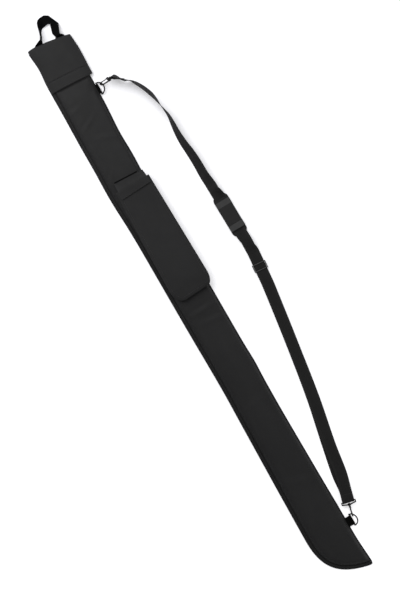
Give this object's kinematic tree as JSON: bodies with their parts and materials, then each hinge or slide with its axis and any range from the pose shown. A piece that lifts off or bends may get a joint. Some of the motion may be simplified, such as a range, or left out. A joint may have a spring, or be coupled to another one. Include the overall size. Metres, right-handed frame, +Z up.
{
  "type": "long soft shoulder case",
  "caption": "Long slim soft carry case with a fold-over lid at one end, a bellows pocket with a flap, a webbing hand loop and a clip-on padded shoulder strap.",
  "frame": {"origin": "middle of the back face that the case lies on, on its centre line", "axes": "+X across the case towards the shoulder strap, +Y along it towards the lid, +Z up out of its front"},
  "size_m": [0.3256, 1.9768, 0.0467],
  "materials": {
    "case_fabric": "black woven synthetic with a faint sheen",
    "foam": "thin foam with a bonded dark lining",
    "tape": "hook and loop fastening tape",
    "webbing": "black ribbed webbing",
    "hardware": "black enamelled wire",
    "pin": "steel pin",
    "plastic": "black moulded plastic",
    "pad_foam": "soft black foam rubber",
    "pad_grip": "dark grey grip rubber"
  },
  "bodies": {
    "case": {"back_panel": "case_fabric", "front_panel": "case_fabric", "front_mouth": "case_fabric", "front_left_side": "case_fabric", "front_right_side": "case_fabric", "front_toe": "case_fabric", "back_padding": "foam", "front_padding": "foam", "mouth_padding": "foam", "edge_binding": "case_fabric", "lid_loop_tape": "tape", "pocket_gusset": "case_fabric", "pocket_front": "case_fabric", "pocket_loop_tape": "tape", "carry_handle": "webbing", "upper_ring_tab": "webbing", "lower_ring_tab": "webbing"},
    "lid_fold": {"lid_fold": "case_fabric"},
    "lid": {"lid_flap": "case_fabric", "lid_hook_tape": "tape"},
    "pocket_flap": {"pocket_flap": "case_fabric", "pocket_hook_tape": "tape"},
    "upper_ring": {"upper_d_ring": "hardware"},
    "lower_ring": {"lower_d_ring": "hardware"},
    "strap": {"strap_webbing": "webbing", "upper_hook_eye": "hardware", "lower_hook_eye": "hardware"},
    "upper_hook": {"upper_hook": "hardware", "upper_gate_pin": "pin"},
    "upper_gate": {"upper_gate": "hardware"},
    "lower_hook": {"lower_hook": "hardware", "lower_gate_pin": "pin"},
    "lower_gate": {"lower_gate": "hardware"},
    "slider": {"slider_frame": "plastic", "slider_webbing_end": "webbing"},
    "pad": {"pad_base": "pad_foam", "pad_cover": "pad_foam", "pad_upper_band": "pad_grip", "pad_lower_band": "pad_grip"}
  },
  "joints": [
    {"name": "lid_fold_hinge", "type": "hinge", "parent": "case", "child": "lid_fold", "pos_m": [0, 0.95, 0.002], "axis": [-1, 0, 0], "range_deg": [0, 90], "deforming": ["carry_handle"]},
    {"name": "lid_hinge", "type": "hinge", "parent": "lid_fold", "child": "lid", "pos_m": [0, 0.95, 0.0192], "axis": [-1, 0, 0], "range_deg": [0, 90]},
    {"name": "pocket_flap_hinge", "type": "hinge", "parent": "case", "child": "pocket_flap", "pos_m": [0, 0.463, 0.02114], "axis": [-1, 0, 0], "range_deg": [0, 132]},
    {"name": "strap_swing", "type": "hinge", "parent": "case", "child": "strap", "pos_m": [0.071, 0.746, 0.00405], "axis": [0.0078, -1, 0], "range_deg": [0, 100]},
    {"name": "upper_ring_turn", "type": "hinge", "parent": "case", "child": "upper_ring", "pos_m": [0.071, 0.746, 0.00405], "axis": [0.0078, -1, 0], "range_deg": [0, 100]},
    {"name": "lower_ring_turn", "type": "hinge", "parent": "case", "child": "lower_ring", "pos_m": [0.083, -0.802, 0.00405], "axis": [0.0078, -1, 0], "range_deg": [0, 100]},
    {"name": "upper_hook_swivel", "type": "hinge", "parent": "strap", "child": "upper_hook", "pos_m": [0.08832, 0.75373, 0.0119], "axis": [0.9507, 0, 0.3102], "range_deg": [-8, 30]},
    {"name": "upper_gate_open", "type": "hinge", "parent": "upper_hook", "child": "upper_gate", "pos_m": [0.10786, 0.75707, 0.02487], "axis": [-0.1459, -0.8826, 0.447], "range_deg": [0, 30], "stiffness_Nm_per_rad": 0.01},
    {"name": "lower_hook_swivel", "type": "hinge", "parent": "strap", "child": "lower_hook", "pos_m": [0.09277, -0.78495, 0.0095], "axis": [0.2201, 0.9755, 0], "range_deg": [-30, 8]},
    {"name": "lower_gate_open", "type": "hinge", "parent": "lower_hook", "child": "lower_gate", "pos_m": [0.09775, -0.76291, 0.0166], "axis": [0.9755, -0.2201, 0], "range_deg": [0, 30], "stiffness_Nm_per_rad": 0.01},
    {"name": "slider_slide", "type": "slide", "parent": "strap", "child": "slider", "axis": [0.0872, 0.9962, 0], "range_m": [0, 0.034]},
    {"name": "pad_slide", "type": "slide", "parent": "strap", "child": "pad", "axis": [-0.02, 0.9998, 0], "range_m": [-0.015, 0.015]}
  ],
  "couplings": [
    {"joint": "lid_hinge", "follows": "lid_fold_hinge", "ratio": 1},
    {"joint": "upper_ring_turn", "follows": "strap_swing", "ratio": 1},
    {"joint": "lower_ring_turn", "follows": "strap_swing", "ratio": 1}
  ]
}
